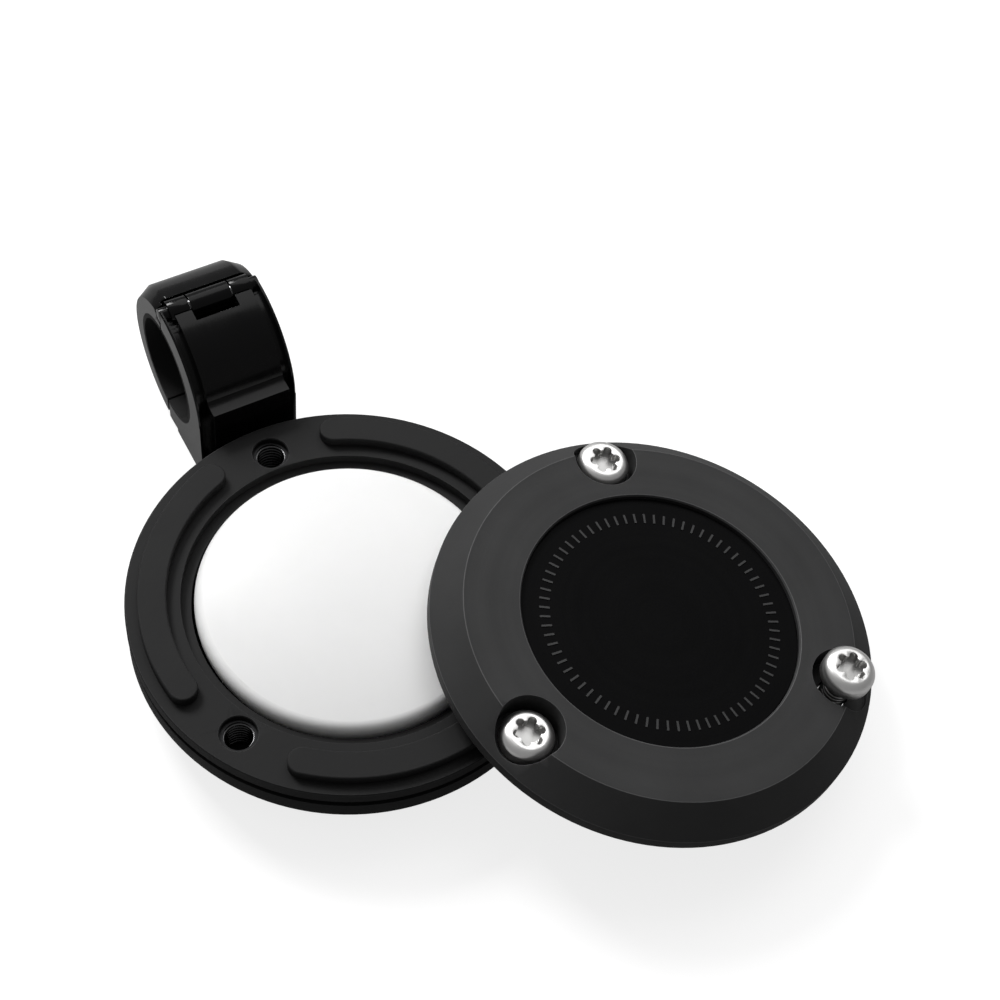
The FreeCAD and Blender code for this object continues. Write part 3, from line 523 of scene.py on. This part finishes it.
def foam(name, colour):
    finish = Finish(name, Specular_IOR_Level=0.2)
    grain = finish.use(moulded_grain, Scale=FOAM_SCALE)
    finish.tint(grain.outputs["Height"], *shades(colour, FOAM_STRAY))
    finish.roughen(grain.outputs["Mottle"], 0.8, 0.95)
    return finish.bump(grain.outputs["Height"], FOAM_DEPTH).material


def lacquered_board(name):
    """Green board with a net of paler copper runs under its lacquer."""
    finish = Finish(name, Specular_IOR_Level=0.5, Coat_Weight=0.4, Coat_Roughness=0.1)
    runs = add(finish.tree, "ShaderNodeTexBrick", Scale=420.0, Mortar_Size=0.03)
    for label, colour in zip(("Color1", "Color2", "Mortar"), BOARD_GREENS):
        runs.inputs[label].default_value = (*colour, 1.0)
    finish.tree.links.new(finish.place, runs.inputs["Vector"])
    finish.tree.links.new(runs.outputs["Color"], finish.shader.inputs["Base Color"])
    marks = finish.use(handling_marks, Size=BOARD_SMUDGE)
    finish.roughen(marks.outputs["Smudge"], 0.3, 0.45)
    return finish.bump(runs.outputs["Fac"], RUN_DEPTH).material


# Geometry Nodes trees

def geometry_tree(name, inputs):
    tree = bpy.data.node_groups.new(name, "GeometryNodeTree")
    tree.is_modifier = True
    for label, kind in inputs:
        tree.interface.new_socket(label, in_out="INPUT", socket_type=kind)
    tree.interface.new_socket("Geometry", in_out="OUTPUT", socket_type="NodeSocketGeometry")
    return tree, tree.nodes.new("NodeGroupInput"), tree.nodes.new("NodeGroupOutput")


def close_tree(tree, given, out, geometry):
    realize = tree.nodes.new("GeometryNodeRealizeInstances")
    paint = tree.nodes.new("GeometryNodeSetMaterial")
    tree.links.new(geometry, realize.inputs[0])
    tree.links.new(realize.outputs[0], paint.inputs["Geometry"])
    tree.links.new(given.outputs["Material"], paint.inputs["Material"])
    tree.links.new(paint.outputs[0], out.inputs[0])
    return tree


def thread_tree():
    """A ridge that climbs round an axis, turn after turn."""
    tree, given, out = geometry_tree("Thread ridge", [
        ("Radius", "NodeSocketFloat"), ("Pitch", "NodeSocketFloat"), ("Turns", "NodeSocketFloat"),
        ("Ridge", "NodeSocketFloat"), ("Material", "NodeSocketMaterial")])
    link = tree.links.new
    spiral = tree.nodes.new("GeometryNodeCurveSpiral")
    spiral.inputs["Resolution"].default_value = THREAD_STEPS
    rise = add(tree, "ShaderNodeMath", operation="MULTIPLY")
    upright = tree.nodes.new("GeometryNodeSetCurveNormal")
    upright.mode = "Z_UP"
    profile = add(tree, "GeometryNodeCurvePrimitiveCircle", mode="RADIUS")
    profile.inputs["Resolution"].default_value = RIDGE_SIDES
    sweep = tree.nodes.new("GeometryNodeCurveToMesh")
    sweep.inputs["Fill Caps"].default_value = True
    link(given.outputs["Radius"], spiral.inputs["Start Radius"])
    link(given.outputs["Radius"], spiral.inputs["End Radius"])
    link(given.outputs["Turns"], spiral.inputs["Rotations"])
    link(given.outputs["Pitch"], rise.inputs[0])
    link(given.outputs["Turns"], rise.inputs[1])
    link(rise.outputs[0], spiral.inputs["Height"])
    link(spiral.outputs[0], upright.inputs[0])
    link(upright.outputs[0], sweep.inputs["Curve"])
    link(given.outputs["Ridge"], profile.inputs["Radius"])
    link(profile.outputs[0], sweep.inputs["Profile Curve"])
    return close_tree(tree, given, out, sweep.outputs[0])


def tick_tree():
    """Plain ticks in an even ring, each pointing at the middle."""
    tree, given, out = geometry_tree("Tick ring", [
        ("Count", "NodeSocketInt"), ("Circle", "NodeSocketFloat"), ("Tick", "NodeSocketVector"),
        ("Material", "NodeSocketMaterial")])
    link = tree.links.new
    ring = add(tree, "GeometryNodeMeshCircle")
    place = tree.nodes.new("GeometryNodeInputPosition")
    aim = tree.nodes.new("FunctionNodeAlignRotationToVector")
    aim.axis = "X"
    bar = tree.nodes.new("GeometryNodeMeshCube")
    dots = tree.nodes.new("GeometryNodeInstanceOnPoints")
    link(given.outputs["Count"], ring.inputs["Vertices"])
    link(given.outputs["Circle"], ring.inputs["Radius"])
    link(place.outputs[0], aim.inputs["Vector"])
    link(given.outputs["Tick"], bar.inputs["Size"])
    link(ring.outputs[0], dots.inputs["Points"])
    link(bar.outputs["Mesh"], dots.inputs["Instance"])
    link(aim.outputs[0], dots.inputs["Rotation"])
    return close_tree(tree, given, out, dots.outputs[0])


def grown(name, tree, values, matrix):
    """A plain mesh object from a tree, at its place in the frame."""
    seed = bpy.data.objects.new(f"{name}_seed", bpy.data.meshes.new(f"{name}_seed"))
    bpy.context.scene.collection.objects.link(seed)
    modifier = seed.modifiers.new("Shape", "NODES")
    modifier.node_group = tree
    for item in tree.interface.items_tree:
        if item.in_out == "INPUT" and item.name in values:
            modifier[item.identifier] = values[item.name]
    mesh = evaluated_mesh(seed)
    bpy.data.objects.remove(seed)
    if not mesh.polygons:
        raise RuntimeError(f"{name} came out empty")
    mesh.transform(matrix)
    return finished_piece(name, mesh)


# Mesh helpers

def evaluated_mesh(obj):
    bpy.context.view_layer.update()
    graph = bpy.context.evaluated_depsgraph_get()
    return bpy.data.meshes.new_from_object(obj.evaluated_get(graph), depsgraph=graph)


def finished_piece(name, mesh):
    mesh.name = name
    obj = bpy.data.objects.new(name, mesh)
    bpy.context.scene.collection.objects.link(obj)
    return obj


def outward(mesh):
    shell = bmesh.new()
    shell.from_mesh(mesh)
    bmesh.ops.remove_doubles(shell, verts=shell.verts, dist=WELD_DISTANCE)
    bmesh.ops.recalc_face_normals(shell, faces=shell.faces)
    shell.to_mesh(mesh)
    shell.free()


def mark_edges(shell):
    """Weigh the sharp outer edges for rounding, and keep such inner corners crisp."""
    weight = shell.edges.layers.float.new("bevel_weight_edge")
    for edge in shell.edges:
        bend = edge.calc_face_angle_signed(0.0)
        if bend > SHARP_ANGLE:
            edge[weight] = 1.0
        elif bend < -SHARP_ANGLE:
            edge.smooth = False


def softened(node, name, width, change=None, highlight_and_wear_edges=False):
    """A copy of a CAD node with its outer edges rounded, standing for that node.

    Rounded edges take the piece's second material, a paler colour that is painted highlight with some wear.
    """
    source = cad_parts[node]
    mesh = source.data.copy()
    if "custom_normal" in mesh.attributes:
        mesh.attributes.remove(mesh.attributes["custom_normal"])
    shell = bmesh.new()
    shell.from_mesh(mesh)
    bmesh.ops.remove_doubles(shell, verts=shell.verts, dist=MERGE_DISTANCE)
    bmesh.ops.dissolve_degenerate(shell, edges=shell.edges, dist=MERGE_DISTANCE)
    bmesh.ops.join_triangles(shell, faces=shell.faces, angle_face_threshold=FLAT_ANGLE,
                             angle_shape_threshold=math.pi)
    if change:
        change(shell)
    for face in shell.faces:
        face.smooth = True
    mark_edges(shell)
    shell.to_mesh(mesh)
    shell.free()
    mesh.materials.clear()
    for _ in range(2 if highlight_and_wear_edges else 1):
        mesh.materials.append(None)
    rough = bpy.data.objects.new(f"{name}_rough", mesh)
    bpy.context.scene.collection.objects.link(rough)
    bevel = rough.modifiers.new("Edge round", "BEVEL")
    bevel.width = width
    bevel.segments = EDGE_SEGMENTS
    bevel.limit_method = "WEIGHT"
    bevel.miter_outer = "MITER_ARC"
    # The rounds take the second material: painted highlight, with some wear.
    bevel.material = 1 if highlight_and_wear_edges else -1
    even = rough.modifiers.new("Face normals", "WEIGHTED_NORMAL")
    even.keep_sharp = True
    smooth = evaluated_mesh(rough)
    bpy.data.objects.remove(rough)
    piece = finished_piece(name, smooth)
    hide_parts(node)
    return piece


def paint(obj, *materials):
    slots = obj.data.materials
    for index, material in enumerate(materials):
        if index < len(slots):
            slots[index] = material
        else:
            slots.append(material)


def paint_node(node, material):
    """Give a CAD node that stays its own finish."""
    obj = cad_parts[node]
    if not obj.material_slots:
        obj.data.materials.append(material)
    for slot in obj.material_slots:
        slot.material = material


def cover_matrix():
    """The loose cover's own frame: its underside's middle, turned and tilted."""
    lean = sizes().cover_lean
    axis = Vector((-math.sin(lean), math.cos(lean), 0.0))
    tilt = Matrix.Rotation(sizes().cover_tilt, 4, axis)
    turn = Matrix.Rotation(sizes().cover_turn, 4, "Z")
    return Matrix.Translation(sizes().cover_place) @ tilt @ turn


def screw_places():
    for index in range(SCREW_COUNT):
        azimuth = math.pi / 2 + math.tau * index / SCREW_COUNT
        yield index, Vector((math.cos(azimuth), math.sin(azimuth), 0.0)) * sizes().screw_circle


def ring_matrix():
    """The clamp ring's own frame, with its bore along local Z."""
    return Matrix.Translation(sizes().ring_middle) @ Matrix.Rotation(math.radians(90), 4, "Y")


# Operators

class TAGHOLDER_OT_case(Operator):
    """Soften the case's edges and give it its matte skin"""

    bl_idname = "tagholder.case"
    bl_label = "Case"

    def execute(self, context):
        black = finishes().case_black
        case = softened("case_base", "case_shell", sizes().case_edge, highlight_and_wear_edges=True)
        # The second finish makes the rounded edges paler: painted highlight, with some wear.
        paint(case,
              moulded_black("Holder matte black", black, roughness=(0.58, 0.68), specular=CASE_SPECULAR),
              moulded_black("Holder edge, painted highlight and wear", edge_highlight_and_wear(black), roughness=(0.5, 0.6), specular=CASE_SPECULAR))
        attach(case, "case")
        paint_node("pocket_pad", foam("Pocket foam", finishes().rubber_black))
        paint_node("jaw_screws", turned_metal("Jaw screw steel", finishes().bright_steel, Matrix.Identity(4),
                                              roughness=(0.2, 0.3)))
        return {"FINISHED"}


class TAGHOLDER_OT_inserts(Operator):
    """Cut a thread into each insert"""

    bl_idname = "tagholder.inserts"
    bl_label = "Threaded inserts"

    def execute(self, context):
        upright = Matrix.Identity(4)
        # Painted shade on the insert body; its thread below takes painted glints.
        dark = turned_metal("Insert steel, painted shade", INSERT_SHADED_STEEL, upright, roughness=(0.3, 0.4))
        paint_node("threaded_inserts", dark)
        metal = turned_metal("Insert thread steel, painted glint", INSERT_GLINT_THREAD, upright, roughness=(0.2, 0.3))
        tree = thread_tree()
        turns = sizes().insert_length / sizes().thread_pitch - 1.0
        for index, place in screw_places():
            start = place + Vector((0.0, 0.0, sizes().insert_bottom + sizes().thread_pitch / 2))
            ridge = grown(f"insert_thread_{index + 1}", tree, {
                "Radius": sizes().insert_bore, "Pitch": sizes().thread_pitch, "Turns": turns,
                "Ridge": sizes().thread_depth, "Material": metal}, Matrix.Translation(start))
            outward(ridge.data)
            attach(ridge, "case")
        return {"FINISHED"}


class TAGHOLDER_OT_clamp(Operator):
    """Soften the two jaws and finish the liners, pin and closing screw"""

    bl_idname = "tagholder.clamp"
    bl_label = "Clamp ring"

    def execute(self, context):
        black = turned_metal("Clamp satin black", finishes().clamp_black, ring_matrix(),
                             roughness=(0.12, 0.2), lines=CLAMP_LINES, depth=CLAMP_DEPTH, metallic=0.0,
                             Specular_IOR_Level=0.17)
        # Paler edges: painted highlight, with some wear.
        edge = moulded_black("Clamp edge, painted highlight and wear", edge_highlight_and_wear(finishes().clamp_black), roughness=(0.2, 0.3),
                             specular=0.4)
        for node, body in (("clamp_fixed_jaw", "case"), ("clamp_swing_jaw", "swing_jaw")):
            jaw = softened(node, f"{node}_finished", sizes().clamp_edge, highlight_and_wear_edges=True)
            paint(jaw, black, edge)
            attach(jaw, body)
        rubber = moulded_black("Liner rubber", finishes().rubber_black, roughness=(0.7, 0.85),
                               scale=RUBBER_SCALE, specular=RUBBER_SPECULAR)
        for node in ("fixed_jaw_liner", "swing_jaw_liner"):
            paint_node(node, rubber)
        paint_node("hinge_pin", turned_metal("Pin steel", PIN_STEEL, ring_matrix(), roughness=(0.2, 0.3)))
        raised = Matrix.Translation((0.0, 0.0, CLAMP_SCREW_HEIGHT))
        lying = raised @ Matrix.Rotation(math.radians(-90), 4, "X")
        paint_node("clamp_screw", turned_metal("Closing screw black", CLOSING_SCREW, lying,
                                               roughness=(0.25, 0.35)))
        return {"FINISHED"}


class TAGHOLDER_OT_cover(Operator):
    """Soften the cover's edges, finish its inlaid disc and ring it with plain ticks"""

    bl_idname = "tagholder.cover"
    bl_label = "Cover"

    def execute(self, context):
        own = cover_matrix()
        black = finishes().cover_black
        lid = softened("cover", "cover_plate", sizes().case_edge, highlight_and_wear_edges=True)
        # The second finish makes the rounded edges paler: painted highlight, with some wear.
        paint(lid, cover_finish("Cover matte black", black, own, roughness=(0.55, 0.66)),
              cover_finish("Cover edge, painted highlight and wear", edge_highlight_and_wear(black), own, roughness=(0.45, 0.56)))
        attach(lid, "cover")
        deep = cover_finish("Badge deep black", finishes().badge_black, own, roughness=(0.36, 0.48),
                            specular=0.022)
        badge = softened("cover_badge", "cover_badge_disc", sizes().case_edge / 2)
        paint(badge, deep)
        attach(badge, "cover")
        relief = moulded_black("Tick satin black", finishes().cover_black, roughness=(0.3, 0.4))
        ticks = grown("badge_ticks", tick_tree(), {
            "Count": sizes().tick_count, "Circle": sizes().tick_circle,
            "Tick": (sizes().tick_length, sizes().tick_width, sizes().tick_height * 2), "Material": relief},
            own @ Matrix.Translation((0.0, 0.0, sizes().badge_top)))
        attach(ticks, "cover")
        rubber = moulded_black("Seal rubber", finishes().rubber_black, roughness=(0.65, 0.8),
                               scale=RUBBER_SCALE, specular=RUBBER_SPECULAR)
        for node in ("cover_seal", "screw_retainers"):
            paint_node(node, rubber)
        return {"FINISHED"}


class TAGHOLDER_OT_screws(Operator):
    """Turn a thread on each cover screw and polish its head"""

    bl_idname = "tagholder.screws"
    bl_label = "Cover screws"

    def execute(self, context):
        tree = thread_tree()
        own = cover_matrix()
        core = sizes().screw_radius - sizes().thread_depth
        for index, place in screw_places():
            up = sizes().screw_seat + sizes().screw_raises[index]
            seat = own @ Matrix.Translation(place + Vector((0.0, 0.0, up)))
            steel = screw_steel(f"Screw steel {index + 1}", finishes().bright_steel, seat)
            body = f"cover_screw_{index + 1}"
            screw = softened(body, f"{body}_turned", sizes().screw_edge, change=slim_shank(seat, core))
            paint(screw, steel)
            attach(screw, body)
            turns = sizes().screw_length / sizes().thread_pitch - 2.0
            start = sizes().thread_pitch * THREAD_START - sizes().screw_length
            low = seat @ Matrix.Translation((0.0, 0.0, start))
            ridge = grown(f"{body}_thread", tree, {
                "Radius": core, "Pitch": sizes().thread_pitch, "Turns": turns, "Ridge": sizes().thread_depth,
                "Material": steel}, low)
            outward(ridge.data)
            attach(ridge, body)
        return {"FINISHED"}


def slim_shank(seat, core):
    """A change for softened(): bring the shank in to the thread's root."""
    home = seat.inverted()

    def change(shell):
        for vert in shell.verts:
            here = home @ vert.co
            across = math.hypot(here.x, here.y)
            if here.z < SHANK_TOP and SHANK_RADII[0] < across < SHANK_RADII[1]:
                share = core / across
                vert.co = seat @ Vector((here.x * share, here.y * share, here.z))
    return change


class TAGHOLDER_OT_tag(Operator):
    """Finish the tag's shell, back and what they hold"""

    bl_idname = "tagholder.tag"
    bl_label = "Tag"

    def execute(self, context):
        upright = Matrix.Identity(4)
        paint_node("tag_shell", glossy_white("Tag gloss white", finishes().tag_white))
        steel = turned_metal("Tag polished steel", BACK_STEEL, upright, roughness=(0.08, 0.16))
        paint_node("tag_back_cover", steel)
        nickel = turned_metal("Cell nickel", CELL_NICKEL, upright, roughness=(0.25, 0.35))
        paint_node("tag_coin_cell", nickel)
        paint_node("tag_chassis", moulded_black("Chassis plastic", CHASSIS_GREY, roughness=(0.5, 0.6)))
        paint_node("tag_circuit_board", lacquered_board("Board lacquer"))
        brass = turned_metal("Sounder brass", SOUNDER_BRASS, upright, roughness=(0.25, 0.35),
                             lines=SOUNDER_LINES)
        paint_node("tag_sounder", brass)
        return {"FINISHED"}


class TAGHOLDER_OT_stage(Operator):
    """Lay the pale floor, the soft lamps and the camera"""

    bl_idname = "tagholder.stage"
    bl_label = "Stage"

    def execute(self, context):
        white_world(context.scene)
        lay_floor(context.scene)
        soft_lamps(context.scene)
        photo_camera(context.scene)
        return {"FINISHED"}


def seen_directly(tree, mirrored):
    """One for camera and see-through rays, which see the white itself, and a share for mirrored rays."""
    rays = add(tree, "ShaderNodeLightPath")
    share = scaled(tree, rays.outputs["Is Glossy Ray"], mirrored)
    seen = larger(tree, share, rays.outputs["Is Camera Ray"])
    return larger(tree, seen, rays.outputs["Is Transmission Ray"])


def white_world(scene):
    scene.view_settings.view_transform = "Standard"
    world = bpy.data.worlds.new("Pale studio")
    world.use_nodes = True
    tree = world.node_tree
    back = next(n for n in tree.nodes if n.type == "BACKGROUND")
    back.inputs["Color"].default_value = (1.0, 1.0, 1.0, 1.0)
    way = add(tree, "ShaderNodeTexCoord")
    towards = add(tree, "ShaderNodeVectorMath", operation="DOT_PRODUCT")
    towards.inputs[1].default_value = SKY_WAY
    level = add(tree, "ShaderNodeMapRange", From_Min=SKY_START, From_Max=1.0,
                To_Min=SKY_DARK, To_Max=SKY_BRIGHT)
    tree.links.new(way.outputs["Generated"], towards.inputs[0])
    tree.links.new(towards.outputs["Value"], level.inputs["Value"])
    strength = larger(tree, level.outputs["Result"], seen_directly(tree, MIRRORED_SKY))
    tree.links.new(strength, back.inputs["Strength"])
    scene.world = world


def lay_floor(scene):
    mesh = bpy.data.meshes.new("floor")
    reach = FLOOR_REACH
    mesh.from_pydata([(-reach, -reach, 0), (reach, -reach, 0), (reach, reach, 0), (-reach, reach, 0)], [],
                     [(0, 1, 2, 3)])
    floor = bpy.data.objects.new("floor", mesh)
    floor.location.z = -FLOOR_DROP
    scene.collection.objects.link(floor)
    pale = bpy.data.materials.new("Pale floor")
    pale.use_nodes = True
    nodes = pale.node_tree
    shader = next(n for n in nodes.nodes if n.type == "BSDF_PRINCIPLED")
    shader.inputs["Roughness"].default_value = 0.9
    shader.inputs["Specular IOR Level"].default_value = 0.1
    shader.inputs["Base Color"].default_value = (FLOOR_GREY, FLOOR_GREY, FLOOR_GREY, 1.0)
    shader.inputs["Emission Color"].default_value = (1.0, 1.0, 1.0, 1.0)
    glow = scaled(nodes, seen_directly(nodes, MIRRORED_FLOOR), FLOOR_GLOW)
    nodes.links.new(glow, shader.inputs["Emission Strength"])
    floor.data.materials.append(pale)


def soft_lamps(scene):
    middle = Vector(LAMP_TARGET)
    for name, place, size, power in LAMPS:
        data = bpy.data.lights.new(name, "AREA")
        data.size = size
        data.energy = power
        lamp = bpy.data.objects.new(name, data)
        lamp.location = place
        lamp.rotation_euler = (middle - Vector(place)).to_track_quat("-Z", "Y").to_euler()
        scene.collection.objects.link(lamp)


def photo_camera(scene):
    data = bpy.data.cameras.new("photo_camera")
    data.sensor_width = SENSOR_WIDTH
    data.lens = CAMERA_LENS
    data.clip_start = NEAREST_SEEN
    data.clip_end = FARTHEST_SEEN
    camera = bpy.data.objects.new("photo_camera", data)
    turn = Euler([math.radians(angle) for angle in CAMERA_TURN])
    camera.matrix_world = Matrix.LocRotScale(Vector(CAMERA_PLACE), turn, None)
    scene.collection.objects.link(camera)
    scene.camera = camera


class TAGHOLDER_PT_pieces(Panel):
    """Pieces of the tag holder, in the order that they are made"""

    bl_idname = "TAGHOLDER_PT_pieces"
    bl_label = "Tag holder"
    bl_space_type = "VIEW_3D"
    bl_region_type = "UI"
    bl_category = "Tag holder"

    def draw(self, context):
        layout = self.layout
        for operator in OPERATORS:
            layout.operator(operator.bl_idname)
        for group in (context.scene.tag_holder_sizes, context.scene.tag_holder_finishes):
            box = layout.box()
            for name in group.__annotations__:
                box.prop(group, name)


OPERATORS = (TAGHOLDER_OT_case, TAGHOLDER_OT_inserts, TAGHOLDER_OT_clamp, TAGHOLDER_OT_cover,
             TAGHOLDER_OT_screws, TAGHOLDER_OT_tag, TAGHOLDER_OT_stage)
CLASSES = (TagHolderSizes, TagHolderFinishes, *OPERATORS, TAGHOLDER_PT_pieces)


def register():
    for cls in CLASSES:
        bpy.utils.register_class(cls)
    bpy.types.Scene.tag_holder_sizes = PointerProperty(type=TagHolderSizes)
    bpy.types.Scene.tag_holder_finishes = PointerProperty(type=TagHolderFinishes)


def unregister():
    del bpy.types.Scene.tag_holder_finishes
    del bpy.types.Scene.tag_holder_sizes
    for cls in reversed(CLASSES):
        bpy.utils.unregister_class(cls)


def main():
    register()
    bpy.ops.tagholder.case()
    bpy.ops.tagholder.inserts()
    bpy.ops.tagholder.clamp()
    bpy.ops.tagholder.cover()
    bpy.ops.tagholder.screws()
    bpy.ops.tagholder.tag()
    bpy.ops.tagholder.stage()


if __name__ == "__main__":
    main()
